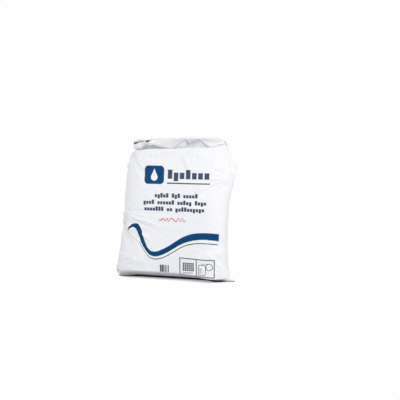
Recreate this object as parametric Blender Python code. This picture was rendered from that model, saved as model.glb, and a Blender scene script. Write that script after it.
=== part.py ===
"""Sealed pack of folded drainage bags: a soft film pouch, filled and standing on its base.

The pouch is a tube of film, sealed flat across its bottom and its top. The contents fill it out to
rounded sides. The bottom seal is folded back under the base, and its ends stick out as a pointed ear at
each side. The empty film above the contents is drawn in over a sloping, crumpled roof to the top seal,
which is folded over and lies down behind. The right side edge stands out as a flat wing near the top.
The pouch stands on z = 0 with its printed front towards -Y.
"""

import math

import bpy
import numpy as np
from mathutils import Vector, geometry

# Overall sizes of the pouch, in metres
PACK_HEIGHT = 0.298
PACK_DEPTH = 0.080
BOTTOM_SEAL_LEFT = 0.1305
BOTTOM_SEAL_RIGHT = 0.1340

# The side edges at each level, in metres: how far they reach to the left and right of the middle
LEVELS = (0.0, 0.019, 0.041, 0.072, 0.106, 0.134, 0.165, 0.195, 0.222, 0.245, 0.272)
LEFT_REACH = (0.1275, 0.1258, 0.1207, 0.1150, 0.1095, 0.1062, 0.1040, 0.1020, 0.0994, 0.0960, 0.0905)
RIGHT_REACH = (0.1310, 0.1256, 0.1224, 0.1204, 0.1204, 0.1220, 0.1258, 0.1325, 0.1385, 0.1330, 0.1165)

# How flat the film is folded at each level of a side edge: 0 is round and 1 is flat
LEFT_FOLD = (1.0, 0.60, 0.15, 0.0, 0.0, 0.0, 0.0, 0.0, 0.10, 0.30, 0.55)
RIGHT_FOLD = (1.0, 0.60, 0.15, 0.0, 0.0, 0.05, 0.30, 0.75, 1.0, 0.95, 0.80)

# How far the front and back bulge at each level, as a share of half the depth
FRONT_BULGE = (0.94, 0.96, 0.98, 1.0, 1.0, 1.0, 0.98, 0.94, 0.88, 0.83, 0.76)
BACK_BULGE = (0.92, 0.96, 1.0, 1.0, 0.98, 0.96, 0.98, 0.96, 0.90, 0.84, 0.76)

# The front edge of the roof and its ridge: (distance to the right, drop below the top), in metres
SHOULDER_LINE = ((-0.0905, 0.0315), (-0.076, 0.0290), (-0.036, 0.0240), (0.013, 0.0225), (0.043, 0.0205),
                 (0.090, 0.0195), (0.1165, 0.0135))
RIDGE_LINE = ((-0.088, 0.0100), (-0.068, 0.0078), (-0.048, 0.0062), (0.008, 0.0045), (0.027, 0.0030),
              (0.069, 0.0026), (0.098, 0.0042), (0.113, 0.0086))
RIDGE_REACH_LEFT = 0.0865
RIDGE_REACH_RIGHT = 0.1130
RIDGE_SET_BACK = 0.004

# The tuck: where the film turns in above the ground, as (distance to the right, height) at the front
TUCK_LINE = ((-0.120, 0.0165), (-0.060, 0.0195), (0.020, 0.0195), (0.060, 0.0145), (0.095, 0.0070),
             (0.125, 0.0030))
TUCK_HEIGHT_BACK = 0.0120

# Base: how far it reaches to the front and to the back, in metres
BASE_FRONT = 0.008
BASE_BACK = 0.028

# How round the tuck is, outwards and upwards, and the share of the wall where the ears' lift dies out
TUCK_ROUND_OUT = 0.85
TUCK_ROUND_UP = 1.25
EAR_SETTLE = 0.15

# The bottom seal in its shallow recess, the round edge of the base, and the lift of the ears, in metres
RECESS_DEPTH = 0.0026
EDGE_LIFT = 0.0034
BASE_RINGS = ((0.20, 0.12, RECESS_DEPTH), (0.34, 0.50, RECESS_DEPTH), (0.42, 0.60, 0.0), (0.84, 0.85, 0.0),
              (1.0, 1.0, EDGE_LIFT))
SEAL_CLEARANCE = 0.0002
SEAL_EDGE = 0.0014
CORNER_START = 0.55
CORNER_END = 0.80
EAR_LENGTH = 0.015
EAR_LIFT_LEFT = 0.0080
EAR_LIFT_RIGHT = 0.0010

# Seals: two films welded together, in metres
SEAL_THICKNESS = 0.0011
BOTTOM_SEAL_LENGTH = 0.013
TOP_SEAL_LENGTH = 0.024
TOP_FOLD_RADIUS = 0.0020
TOP_SEAL_FALL = math.radians(122)
TOP_SEAL_WAVE = 0.0012
TOP_SEAL_WAVELENGTH = 0.083

# Roundness: the power that squares the front, and the powers of a round and of a folded side edge
FACE_POWER = 4.2
ROUND_EDGE = 2.0
FOLDED_EDGE = 1.0

# Mesh: columns of film across the front and back, and rows up each part of it
FRONT_COLUMNS = 56
BACK_COLUMNS = 36
FOOT_ROWS = 4
WALL_ROWS = 32
ROOF_ROWS = 12
FOLD_ROWS = 4
SEAL_ROWS = 2
SHARP_ANGLE = math.radians(50)

# Creases of the film: where each starts and ends, its half-width and its height, in metres.
# A place is (distance to the right of the middle, height above the ground).
FRONT_CREASES = (
    ((-0.108, 0.136), (-0.012, 0.114), 0.0070, 0.0013),
    ((-0.110, 0.124), (-0.040, 0.088), 0.0060, 0.0014),
    ((-0.113, 0.112), (-0.070, 0.066), 0.0065, -0.0014),
    ((-0.107, 0.146), (0.020, 0.140), 0.0080, -0.0010),
    ((-0.088, 0.264), (-0.044, 0.214), 0.0075, -0.0020),
    ((-0.070, 0.268), (-0.058, 0.236), 0.0070, 0.0016),
    ((-0.040, 0.252), (0.022, 0.266), 0.0085, -0.0020),
    ((0.034, 0.262), (0.054, 0.228), 0.0085, 0.0018),
    ((0.126, 0.246), (0.088, 0.196), 0.0110, -0.0018),
    ((0.124, 0.206), (0.056, 0.172), 0.0110, -0.0014),
    ((0.122, 0.066), (0.050, 0.040), 0.0120, 0.0014),
    ((-0.120, 0.052), (-0.040, 0.036), 0.0100, 0.0012),
)
BACK_CREASES = (
    ((-0.104, 0.240), (-0.030, 0.190), 0.0120, 0.0024),
    ((0.114, 0.230), (0.036, 0.198), 0.0120, 0.0024),
    ((-0.112, 0.100), (-0.020, 0.130), 0.0120, -0.0020),
    ((0.118, 0.090), (0.030, 0.060), 0.0120, 0.0020),
    ((-0.118, 0.054), (-0.050, 0.036), 0.0110, 0.0018),
    ((-0.060, 0.262), (-0.044, 0.220), 0.0100, -0.0024),
    ((0.050, 0.262), (0.066, 0.216), 0.0100, -0.0024),
    ((-0.098, 0.244), (-0.070, 0.180), 0.0090, 0.0018),
    ((0.112, 0.236), (0.094, 0.172), 0.0090, 0.0018),
    ((-0.116, 0.040), (-0.076, 0.090), 0.0090, 0.0016),
    ((0.118, 0.036), (0.080, 0.086), 0.0090, 0.0016),
)

# Creases round the sides, in the same form. Their distance is measured round the film.
SIDE_CREASES = (
    ((-0.136, 0.236), (-0.152, 0.118), 0.0090, 0.0018),
    ((-0.168, 0.256), (-0.174, 0.150), 0.0100, -0.0020),
    ((-0.150, 0.112), (-0.146, 0.040), 0.0090, 0.0014),
    ((-0.176, 0.130), (-0.166, 0.050), 0.0090, -0.0014),
    ((-0.134, 0.142), (-0.196, 0.160), 0.0090, 0.0020),
    ((-0.136, 0.128), (-0.194, 0.104), 0.0090, 0.0018),
    ((0.172, 0.244), (0.166, 0.120), 0.0100, 0.0018),
    ((0.152, 0.176), (0.150, 0.060), 0.0090, -0.0014),
    ((0.178, 0.128), (0.170, 0.046), 0.0090, 0.0014),
    ((0.154, 0.222), (0.214, 0.238), 0.0090, 0.0018),
    ((0.154, 0.204), (0.212, 0.184), 0.0090, -0.0016),
)

# Corners where the flat facets of the crumpled roof meet: distance to the right in metres, share of the
# way up to the ridge, and height above the smooth roof in metres. Along its edges the height is 0.
ROOF_CORNERS = (
    (-0.078, 0.24, -0.0016), (-0.072, 0.38, 0.0022), (-0.069, 0.54, 0.0032), (-0.057, 0.73, 0.0024),
    (-0.046, 0.90, 0.0010), (-0.063, 0.28, -0.0034), (-0.056, 0.87, -0.0040), (-0.044, 0.76, -0.0066),
    (-0.024, 0.54, -0.0072), (0.003, 0.34, -0.0070), (0.014, 0.30, -0.0042), (0.018, 0.62, -0.0004),
    (0.029, 0.70, 0.0016), (0.033, 0.33, -0.0022), (0.033, 0.95, -0.0040), (0.041, 0.57, -0.0040),
    (0.045, 0.18, -0.0010), (0.057, 0.46, 0.0030), (0.061, 0.13, 0.0014), (0.066, 0.76, -0.0004),
    (0.073, 0.52, -0.0036), (0.084, 0.30, -0.0054), (0.080, 0.66, -0.0004), (0.096, 0.30, -0.0046),
    (0.098, 0.60, -0.0014), (0.105, 0.50, -0.0026), (0.107, 0.81, 0.0004),
)
ROOF_EDGE_LEFT = -0.102
ROOF_EDGE_RIGHT = 0.124
ROOF_EDGE_CORNERS = 14
ROOF_LENGTH = 0.036
BACK_ROOF_SHARE = 0.25
CREASE_FADE = 0.10


def clear_scene():
    for obj in list(bpy.data.objects):
        bpy.data.objects.remove(obj)


def smoothstep(low, high, value):
    """0 below low, 1 above high, and a smooth rise between."""
    share = np.clip((np.asarray(value, float) - low) / (high - low), 0.0, 1.0)
    return share * share * (3.0 - 2.0 * share)


def curve(places, values, at):
    """A smooth curve through a few points, which never swings past them."""
    places = np.asarray(places, float)
    values = np.asarray(values, float)
    steps = np.diff(values) / np.diff(places)
    before, after = steps[:-1], steps[1:]
    total = np.where(before * after > 0.0, before + after, 1.0)
    inner = np.where(before * after > 0.0, 2.0 * before * after / total, 0.0)
    slopes = np.concatenate([steps[:1], inner, steps[-1:]])
    at = np.clip(at, places[0], places[-1])
    span = np.clip(np.searchsorted(places, at) - 1, 0, len(steps) - 1)
    width = places[span + 1] - places[span]
    t = (at - places[span]) / width
    start = (1 + 2 * t) * (1 - t) ** 2 * values[span] + t * (1 - t) ** 2 * width * slopes[span]
    end = t * t * (3 - 2 * t) * values[span + 1] + t * t * (t - 1) * width * slopes[span + 1]
    return start + end


def line(points, at):
    """The height of a line drawn through (distance to the right, height) points."""
    return curve([point[0] for point in points], [point[1] for point in points], at)


def quarter(reach, depth, edge_power, shares):
    """A quarter of a ring, from the middle of a face to the side edge, at shares of its length."""
    angle = np.linspace(0.0, math.pi / 2, 160)
    x = reach * np.sin(angle) ** (2.0 / FACE_POWER)
    y = depth * np.maximum(np.cos(angle), 0.0) ** (2.0 / edge_power)
    y[-1] = 0.0
    run = np.concatenate([[0.0], np.cumsum(np.hypot(np.diff(x), np.diff(y)))])
    return np.interp(shares * run[-1], run, x), np.interp(shares * run[-1], run, y)


def ring(left, right, front, back, left_fold, right_fold):
    """A closed ring of film as x and y, from the front middle to the right, the back and the left."""
    front_shares = np.arange(FRONT_COLUMNS // 2 + 1) / (FRONT_COLUMNS // 2)
    back_shares = np.arange(BACK_COLUMNS // 2 + 1) / (BACK_COLUMNS // 2)
    left_power = ROUND_EDGE + (FOLDED_EDGE - ROUND_EDGE) * left_fold
    right_power = ROUND_EDGE + (FOLDED_EDGE - ROUND_EDGE) * right_fold
    x_fr, y_fr = quarter(right, front, right_power, front_shares)
    x_br, y_br = quarter(right, back, right_power, back_shares)
    x_bl, y_bl = quarter(left, back, left_power, back_shares)
    x_fl, y_fl = quarter(left, front, left_power, front_shares)
    x = np.concatenate([x_fr, x_br[::-1][1:], -x_bl[1:], -x_fl[::-1][1:-1]])
    y = np.concatenate([-y_fr, y_br[::-1][1:], y_bl[1:], -y_fl[::-1][1:-1]])
    return x, y


def wall_ring(level):
    """The ring of the filled pouch at one level."""
    half = PACK_DEPTH / 2
    return ring(
        curve(LEVELS, LEFT_REACH, level),
        curve(LEVELS, RIGHT_REACH, level),
        curve(LEVELS, FRONT_BULGE, level) * half,
        curve(LEVELS, BACK_BULGE, level) * half,
        curve(LEVELS, LEFT_FOLD, level),
        curve(LEVELS, RIGHT_FOLD, level),
    )


def ear_lift(x):
    """How far the ears of the bottom seal rise from the ground towards their tips."""
    left = EAR_LIFT_LEFT * smoothstep(BOTTOM_SEAL_LEFT - EAR_LENGTH, BOTTOM_SEAL_LEFT, -x)
    right = EAR_LIFT_RIGHT * smoothstep(BOTTOM_SEAL_RIGHT - EAR_LENGTH, BOTTOM_SEAL_RIGHT, x)
    return left + right


def base_edge():
    """The edge of the base as x and y. Its columns run straight in to the seal under the middle."""
    return ring(LEFT_REACH[0], RIGHT_REACH[0], BASE_FRONT, BASE_BACK, LEFT_FOLD[0], RIGHT_FOLD[0])


def bottom_rows():
    """The bottom seal, folded back under the base, then the recess around it and the flat base."""
    half = SEAL_THICKNESS / 2
    x_edge, y_edge = base_edge()
    share_out = np.where(x_edge < 0.0, -x_edge / LEFT_REACH[0], x_edge / RIGHT_REACH[0])
    x_seal = share_out * np.where(x_edge < 0.0, -BOTTOM_SEAL_LEFT, BOTTOM_SEAL_RIGHT)
    thick = half * np.clip(y_edge / SEAL_EDGE, -1.0, 1.0)
    rows = []
    for i in range(SEAL_ROWS + 1):
        y = np.full_like(x_seal, BOTTOM_SEAL_LENGTH * (1 - i / SEAL_ROWS))
        rows.append(np.stack([x_seal, y, SEAL_CLEARANCE + half + thick + ear_lift(x_seal)], axis=1))
    corner = smoothstep(CORNER_START, CORNER_END, share_out)
    # Each ring is (share of the way out to the front, share of the way out to the back, height)
    for front, back, height in BASE_RINGS:
        y = y_edge * np.where(y_edge < 0.0, front, back)
        z = height + (RECESS_DEPTH - height) * corner + ear_lift(x_edge)
        rows.append(np.stack([x_edge, y, z], axis=1))
    return rows


def wall_row(level):
    """One row of the wall, from the tuck up to the front edge of the roof."""
    x, y = wall_ring(level)
    front = np.clip(-y / -y.min(), 0.0, 1.0)
    tuck = TUCK_HEIGHT_BACK + (line(TUCK_LINE, x) - TUCK_HEIGHT_BACK) * front
    top = PACK_HEIGHT - line(SHOULDER_LINE, x)
    share = (level - LEVELS[1]) / (LEVELS[-1] - LEVELS[1])
    settle = 1.0 - smoothstep(0.0, EAR_SETTLE, share)
    return np.stack([x, y, tuck + (top - tuck) * share + ear_lift(x) * settle], axis=1)


def foot_rows():
    """The tuck: the film turning out and up from the edge of the base to the wall."""
    x_top, y_top, z_top = wall_row(LEVELS[1]).T
    x_low, y_low, z_low = bottom_rows()[-1].T
    rows = []
    for i in range(1, FOOT_ROWS):
        share = i / FOOT_ROWS
        out = share ** TUCK_ROUND_OUT
        up = share ** TUCK_ROUND_UP
        rows.append(np.stack([x_low + (x_top - x_low) * share, y_low + (y_top - y_low) * out,
                              z_low + (z_top - z_low) * up], axis=1))
    return rows


def wall_rows():
    """The wall of the filled pouch, from the tuck to the front edge of the roof."""
    span = LEVELS[-1] - LEVELS[1]
    return [wall_row(LEVELS[1] + span * i / WALL_ROWS) for i in range(WALL_ROWS + 1)]


def roof_rows():
    """The slack film above the contents, drawn in from the shoulder to the ridge."""
    rows = []
    thin = SEAL_THICKNESS / 2
    for i in range(1, ROOF_ROWS + 1):
        share = i / ROOF_ROWS
        front = (1 - share) * FRONT_BULGE[-1] * PACK_DEPTH / 2 + share * thin
        back = (1 - share) * BACK_BULGE[-1] * PACK_DEPTH / 2 + share * thin
        left = LEFT_REACH[-1] + (RIDGE_REACH_LEFT - LEFT_REACH[-1]) * share ** 0.4
        right = RIGHT_REACH[-1] + (RIDGE_REACH_RIGHT - RIGHT_REACH[-1]) * share
        fade = 1 - share
        x, y = ring(left, right, front, back, LEFT_FOLD[-1] * fade, RIGHT_FOLD[-1] * fade)
        low = PACK_HEIGHT - line(SHOULDER_LINE, x)
        high = PACK_HEIGHT - line(RIDGE_LINE, x)
        rows.append(np.stack([x, y + RIDGE_SET_BACK * share, low + (high - low) * share], axis=1))
    return rows


def top_seal_rows():
    """The flat top seal, folded over the ridge and lying down behind it in a gentle wave."""
    half = SEAL_THICKNESS / 2
    x, thick = ring(RIDGE_REACH_LEFT, RIDGE_REACH_RIGHT, half, half, 0.0, 0.0)
    ridge = PACK_HEIGHT - line(RIDGE_LINE, x)
    middle_y = RIDGE_SET_BACK + TOP_FOLD_RADIUS
    wave = TOP_SEAL_WAVE * np.sin(2 * math.pi * x / TOP_SEAL_WAVELENGTH)
    rows = []
    for i in range(1, FOLD_ROWS + 1):
        turn = TOP_SEAL_FALL * i / FOLD_ROWS
        out = TOP_FOLD_RADIUS - thick
        rows.append(np.stack([x, middle_y - out * math.cos(turn), ridge + out * math.sin(turn)], axis=1))
    along = np.array([0.0, math.sin(TOP_SEAL_FALL), math.cos(TOP_SEAL_FALL)])
    away = np.array([0.0, -math.cos(TOP_SEAL_FALL), math.sin(TOP_SEAL_FALL)])
    for i in range(1, SEAL_ROWS + 1):
        share = i / SEAL_ROWS
        hang = along * TOP_SEAL_LENGTH * share + wave[:, None] * away * share
        rows.append(rows[FOLD_ROWS - 1] + hang)
    return rows


def crease(place, start, end, half_width, height):
    """Height at each place of one fold in the film, sharp along its line and faded at its ends."""
    start, end = np.array(start), np.array(end)
    run = end - start
    share = ((place - start) @ run) / (run @ run)
    nearest = start + np.clip(share, 0.0, 1.0)[..., None] * run
    away = np.linalg.norm(place - nearest, axis=-1)
    fade = smoothstep(-0.12, 0.12, share) * smoothstep(1.12, 0.75, share)
    return height * np.maximum(0.0, 1.0 - away / half_width) * fade


def roof_facets():
    """The flat facets of the roof, each as its three corners."""
    edge = np.linspace(ROOF_EDGE_LEFT, ROOF_EDGE_RIGHT, ROOF_EDGE_CORNERS)
    corners = [(x, share, 0.0) for share in (0.0, 1.0) for x in edge] + list(ROOF_CORNERS)
    flat = [Vector((x / ROOF_LENGTH, share)) for x, share, height in corners]
    triangles = geometry.delaunay_2d_cdt(flat, [], [], 0, 1e-6)[2]
    return [np.array([corners[i] for i in triangle]) for triangle in triangles]


def facet_height(x, share, triangles):
    """Height of the faceted film at each place."""
    height = np.zeros_like(x)
    for a, b, c in triangles:
        area = (b[0] - a[0]) * (c[1] - a[1]) - (c[0] - a[0]) * (b[1] - a[1])
        to_b = ((x - a[0]) * (c[1] - a[1]) - (c[0] - a[0]) * (share - a[1])) / area
        to_c = ((b[0] - a[0]) * (share - a[1]) - (x - a[0]) * (b[1] - a[1])) / area
        inside = (to_b >= 0.0) & (to_c >= 0.0) & (to_b + to_c <= 1.0)
        height = np.where(inside, a[2] + to_b * (b[2] - a[2]) + to_c * (c[2] - a[2]), height)
    return height


def outward(points):
    """Unit vectors pointing out of the film at each point of the sheet."""
    around = np.roll(points, -1, axis=1) - np.roll(points, 1, axis=1)
    up = np.gradient(points, axis=0)
    normal = np.cross(around, up)
    length = np.linalg.norm(normal, axis=-1, keepdims=True)
    return normal / np.maximum(length, 1e-12)


def round_film(points):
    """Distance of each point round the film from its front middle, less than 0 on the left."""
    steps = np.linalg.norm(np.diff(points, axis=1, append=points[:, :1]), axis=-1)
    run = np.cumsum(steps, axis=1)
    right = run - steps
    return np.where(right <= run[:, -1:] / 2, right, right - run[:, -1:])


def add_creases(points, wall_first, roof_first):
    """Presses the folds into the wall and the facets into the roof, and leaves the rest as it is."""
    bump = np.zeros(points.shape[:2])
    around = round_film(points)
    for row in range(wall_first + 1, roof_first - 1):
        x, y, z = points[row].T
        share = (row - wall_first) / WALL_ROWS
        strength = smoothstep(0.0, CREASE_FADE, share) * smoothstep(1.0, 1.0 - CREASE_FADE / 2, share)
        place = np.stack([x, z], axis=-1)
        front = sum(crease(place, *fold) for fold in FRONT_CREASES)
        back = sum(crease(place, *fold) for fold in BACK_CREASES)
        sides = sum(crease(np.stack([around[row], z], axis=-1), *fold) for fold in SIDE_CREASES)
        bump[row] = (np.where(y < 0.0, front, back) + sides) * strength
    facets = roof_facets()
    for row in range(roof_first, roof_first + ROOF_ROWS - 1):
        share = (row - roof_first + 1) / ROOF_ROWS
        x, y = points[row].T[:2]
        front = facet_height(x, share, facets)
        back = facet_height(-x, share, facets) * BACK_ROOF_SHARE
        bump[row] = np.where(y < RIDGE_SET_BACK * share, front, back)
    points += outward(points) * bump[..., None]


def pouch_points():
    """Every point of the film, as rows up the pouch by columns around it."""
    low = bottom_rows() + foot_rows()
    wall = wall_rows()
    points = np.array(low + wall + roof_rows() + top_seal_rows())
    add_creases(points, len(low), len(low) + len(wall))
    return points


def sheet_faces(rows, columns):
    """Four-sided faces of the film, row by row around the pouch."""
    faces = []
    for row in range(rows - 1):
        for column in range(columns):
            following = (column + 1) % columns
            low, high = row * columns, (row + 1) * columns
            faces.append((low + column, low + following, high + following, high + column))
    return faces


def build_pouch():
    points = pouch_points()
    rows, columns = points.shape[:2]
    low = points.reshape(-1, 3).min(axis=0)
    high = points.reshape(-1, 3).max(axis=0)
    centre = np.array([(low[0] + high[0]) / 2, (low[1] + high[1]) / 2, 0.0])
    first_ring = tuple(range(columns))
    last_ring = tuple(range((rows - 1) * columns, rows * columns))
    faces = sheet_faces(rows, columns) + [first_ring[::-1], last_ring]
    mesh = bpy.data.meshes.new("sealed_pack")
    mesh.from_pydata((points - centre).reshape(-1, 3).tolist(), [], faces)
    mesh.validate()
    mesh.shade_smooth()
    mesh.set_sharp_from_angle(angle=SHARP_ANGLE)
    pouch = bpy.data.objects.new("sealed_pack", mesh)
    bpy.context.scene.collection.objects.link(pouch)
    mesh.materials.append(film_material())
    return pouch


def film_material():
    """White polyethylene film with a soft gloss."""
    material = bpy.data.materials.new("white_film")
    material.use_nodes = True
    shader = material.node_tree.nodes["Principled BSDF"]
    shader.inputs["Base Color"].default_value = (0.86, 0.87, 0.89, 1.0)
    shader.inputs["Roughness"].default_value = 0.35
    shader.inputs["Metallic"].default_value = 0.0
    return material


clear_scene()
build_pouch()
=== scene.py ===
"""Looks of a sealed pack of drainage bags: creased white film, printed front, ribbed seals."""

import math

import bpy
import numpy as np
from mathutils import Matrix, Vector, geometry, noise


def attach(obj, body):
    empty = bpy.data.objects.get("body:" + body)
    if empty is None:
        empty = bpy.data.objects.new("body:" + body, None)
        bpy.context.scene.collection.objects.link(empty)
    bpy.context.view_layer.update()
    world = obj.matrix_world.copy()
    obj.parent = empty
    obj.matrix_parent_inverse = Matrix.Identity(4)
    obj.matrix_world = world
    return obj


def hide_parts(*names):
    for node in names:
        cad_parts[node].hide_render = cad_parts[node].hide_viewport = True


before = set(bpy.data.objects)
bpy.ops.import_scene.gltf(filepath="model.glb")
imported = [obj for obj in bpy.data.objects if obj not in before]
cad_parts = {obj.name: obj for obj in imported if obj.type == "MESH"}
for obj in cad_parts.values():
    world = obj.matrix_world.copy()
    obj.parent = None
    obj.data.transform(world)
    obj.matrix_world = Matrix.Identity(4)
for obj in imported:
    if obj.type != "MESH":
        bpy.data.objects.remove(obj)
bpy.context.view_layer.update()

# The pouch in metres, as in the CAD source: first its overall sizes
PACK_HEIGHT = 0.298
PACK_DEPTH = 0.080
BOTTOM_SEAL_LEFT = 0.1305
BOTTOM_SEAL_RIGHT = 0.1340

# Its cross-sections by height: reach to each side, how folded each side edge is, and how far the
# front and the back bulge, as shares of half the depth
LEVELS = (0.0, 0.019, 0.041, 0.072, 0.106, 0.134, 0.165, 0.195, 0.222, 0.245, 0.272)
LEFT_REACH = (
    0.1275, 0.1258, 0.1207, 0.1150, 0.1095, 0.1062, 0.1040, 0.1020, 0.0994, 0.0960, 0.0905)
RIGHT_REACH = (
    0.1310, 0.1256, 0.1224, 0.1204, 0.1204, 0.1220, 0.1258, 0.1325, 0.1385, 0.1330, 0.1165)
LEFT_FOLD = (1.0, 0.60, 0.15, 0.0, 0.0, 0.0, 0.0, 0.0, 0.10, 0.30, 0.55)
RIGHT_FOLD = (1.0, 0.60, 0.15, 0.0, 0.0, 0.05, 0.30, 0.75, 1.0, 0.95, 0.80)
FRONT_BULGE = (0.94, 0.96, 0.98, 1.0, 1.0, 1.0, 0.98, 0.94, 0.88, 0.83, 0.76)
BACK_BULGE = (0.92, 0.96, 1.0, 1.0, 0.98, 0.96, 0.98, 0.96, 0.90, 0.84, 0.76)
FACE_POWER = 4.2
ROUND_EDGE = 2.0
FOLDED_EDGE = 1.0

# The roof, between two lines drawn by (distance to the right, drop below the pack's height)
SHOULDER_LINE = (
    (-0.0905, 0.0315), (-0.076, 0.0290), (-0.036, 0.0240), (0.013, 0.0225), (0.043, 0.0205),
    (0.090, 0.0195), (0.1165, 0.0135))
RIDGE_LINE = (
    (-0.088, 0.0100), (-0.068, 0.0078), (-0.048, 0.0062), (0.008, 0.0045), (0.027, 0.0030),
    (0.069, 0.0026), (0.098, 0.0042), (0.113, 0.0086))
RIDGE_REACH_LEFT = 0.0865
RIDGE_REACH_RIGHT = 0.1130
RIDGE_SET_BACK = 0.004
ROOF_LEFT_POWER = 0.4

# The tuck, whose line is drawn by (distance to the right, height), and the base
TUCK_LINE = (
    (-0.120, 0.0165), (-0.060, 0.0195), (0.020, 0.0195), (0.060, 0.0145), (0.095, 0.0070),
    (0.125, 0.0030))
TUCK_HEIGHT_BACK = 0.0120
TUCK_ROUND_OUT = 1.25
TUCK_ROUND_UP = 1.35
BASE_FRONT = 0.004
BASE_BACK = 0.028
RECESS_DEPTH = 0.0026
EDGE_LIFT = 0.0048
CORNER_LIFT = 0.0016
CORNER_START = 0.55
CORNER_END = 0.80
# Each ring of the base: share of the way out to the front and to the back, and height at each
BASE_RINGS = (
    (0.06, 0.12, 0.0046, 0.0042), (0.10, 0.50, 0.0046, RECESS_DEPTH), (0.14, 0.60, 0.0042, 0.0),
    (0.20, 0.85, 0.0040, 0.0), (1.0, 1.0, EDGE_LIFT, EDGE_LIFT))

# The seals, with the ears of the bottom one and the fold, wave and flutter of the top one
SEAL_THICKNESS = 0.0011
SEAL_EDGE = 0.0014
SEAL_RAISE = 0.0020
SEAL_CLEARANCE = 0.0002
BOTTOM_SEAL_LENGTH = 0.013
EAR_LENGTH = 0.015
EAR_LIFT_LEFT = 0.0080
EAR_LIFT_RIGHT = 0.0010
EAR_SETTLE = 0.15
TOP_SEAL_LENGTH = 0.024
TOP_FOLD_RADIUS = 0.0020
TOP_SEAL_FALL = math.radians(122)
TOP_SEAL_WAVE = 0.0012
TOP_SEAL_WAVELENGTH = 0.083
SEAL_FLUTTER = 0.0050
SEAL_FLUTTER_WIDTH = 0.019

# Where the middle of the pack's outer box lies in these sizes
CENTRE_X = (max(RIGHT_REACH) - BOTTOM_SEAL_LEFT) / 2
CENTRE_Y = 0.0

# Fine mesh: columns of film across the front and the back, and rows up each part
FRONT_COLUMNS = 208
BACK_COLUMNS = 112
FOOT_ROWS = 10
WALL_ROWS = 180
ROOF_ROWS = 26
FOLD_ROWS = 8
SEAL_ROWS = 8
ARC_STEPS = 160
SHARP_ANGLE = math.radians(55)

# Soft unevenness of the film: width and height of its swell and of its crinkles
SWELL_WIDTH = 0.050
SWELL = 0.0007
CRINKLE_WIDTH = 0.016
CRINKLE = 0.0004
CRINKLE_SHARPNESS = 2.2
NOISE_SHIFT = (7.31, 3.17, 5.93)
FINE_BLUR_ROWS = 7

# The camera, fitted to the photograph: lens and sensor in mm, place in metres, angles in degrees
CAMERA_LENS = 90.0
SENSOR_WIDTH = 36.0
CAMERA_PLACE = Vector((0.6812 - CENTRE_X, -1.9675 - CENTRE_Y, 0.3979))
CAMERA_AZIMUTH = 17.49
CAMERA_ELEVATION = 6.36

# The soft lights, all turned to the pack's middle: name, place, size in metres and power in watts
PACK_MIDDLE = Vector((0.0, 0.0, 0.15))
LIGHT_TINT = (1.0, 0.980, 0.945)
LIGHTS = (
    ("front_light", (0.4, -2.8, 1.00), (3.0, 1.2), 50.5),
    ("right_light", (2.9, -0.5, 0.35), (2.6, 1.4), 56.0),
    ("left_light", (-2.6, -1.6, 0.35), (2.6, 1.4), 28.0),
    ("back_light", (-1.6, 2.6, 1.00), (1.8, 1.2), 80.0),
)
# The sky's tones near the ground and high up, and the rises between which one becomes the other
SKY_LOW = (0.330, 0.335, 0.350, 1.0)
SKY_HIGH = (0.305, 0.340, 0.405, 1.0)
SKY_RISE = (0.10, 0.60)
WHITE = (1.0, 1.0, 1.0, 1.0)

FLOOR_HALF = 4.0
FLOOR_DROP = 0.0002
FLOOR_COLOUR = (0.40, 0.42, 0.46, 1.0)
# The pack's contact line and soft shadow, painted into the floor's glow from how open the floor is:
# reach in metres, openness where it is darkest and where it is white, and its darkest tone
FLOOR_PAINTED_SHADOWS = ((0.006, 0.30, 0.62, 0.0), (0.016, 0.10, 0.50, 0.34))
SHADE_SAMPLES = 16

# Colours of the film, of the shade painted into its gaps and folds, and of the inks
FILM_WHITE = (0.875, 0.872, 0.880, 1.0)
PAINTED_GAP_SHADE = (0.036, 0.048, 0.068, 1.0)
BLUE_INK = (0.000, 0.053, 0.165, 1.0)
SLATE_INK = (0.055, 0.075, 0.130, 1.0)
GREY_INK = (0.065, 0.070, 0.090, 1.0)
RED_INK = (0.640, 0.085, 0.050, 1.0)

# Surface of the film: its gloss, its fine crinkles and the ribs between the edges of the seals.
# A bump is its strength and its depth in metres.
FILM_ROUGHNESS = 0.36
FILM_GLOSS = 0.10
GRAIN_SCALE = 75.0
GRAIN_DETAIL = 3.0
GRAIN_DISTORTION = 0.8
GRAIN_BUMP = (0.5, 0.0022)
RIB_PITCH = 0.0016
RIBS_START = 0.0015
RIBS_END = 0.0225
RIB_BUMP = (0.7, 0.0002)

# Print on the front film, by distance to the right of its middle and height along it, in metres.
# A rectangle is its middle, its half sizes and its corner radius, and a circle is its middle and
# its radius. First the flowing stripe with the thin line under it.
PRINT_EDGE = 0.0004
STRIPE_START = -0.0885
STRIPE_END = 0.1130
STRIPE_LOWEST = 0.040
STRIPE_HIGHEST = 0.125
STRIPE_TOP = (
    (-0.0885, 0.1055), (-0.0801, 0.1148), (-0.0732, 0.1184), (-0.0647, 0.1190),
    (-0.0585, 0.1137), (-0.0545, 0.1050), (-0.0500, 0.0921), (-0.0455, 0.0788),
    (-0.0390, 0.0675), (-0.0312, 0.0620), (-0.0224, 0.0619), (-0.0106, 0.0663),
    (0.0055, 0.0747), (0.0217, 0.0854), (0.0399, 0.0960), (0.0579, 0.1022),
    (0.0755, 0.1042), (0.0950, 0.1039), (0.1130, 0.1016))
STRIPE_BOTTOM = (
    (-0.0885, 0.1025), (-0.0800, 0.1085), (-0.0735, 0.1110), (-0.0680, 0.1090),
    (-0.0632, 0.1020), (-0.0588, 0.0905), (-0.0548, 0.0795), (-0.0485, 0.0685),
    (-0.0418, 0.0595), (-0.0343, 0.0535), (-0.0249, 0.0515), (-0.0132, 0.0539),
    (0.0009, 0.0602), (0.0171, 0.0698), (0.0331, 0.0793), (0.0489, 0.0855),
    (0.0668, 0.0894), (0.0843, 0.0904), (0.0972, 0.0891), (0.1130, 0.0870))
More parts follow.
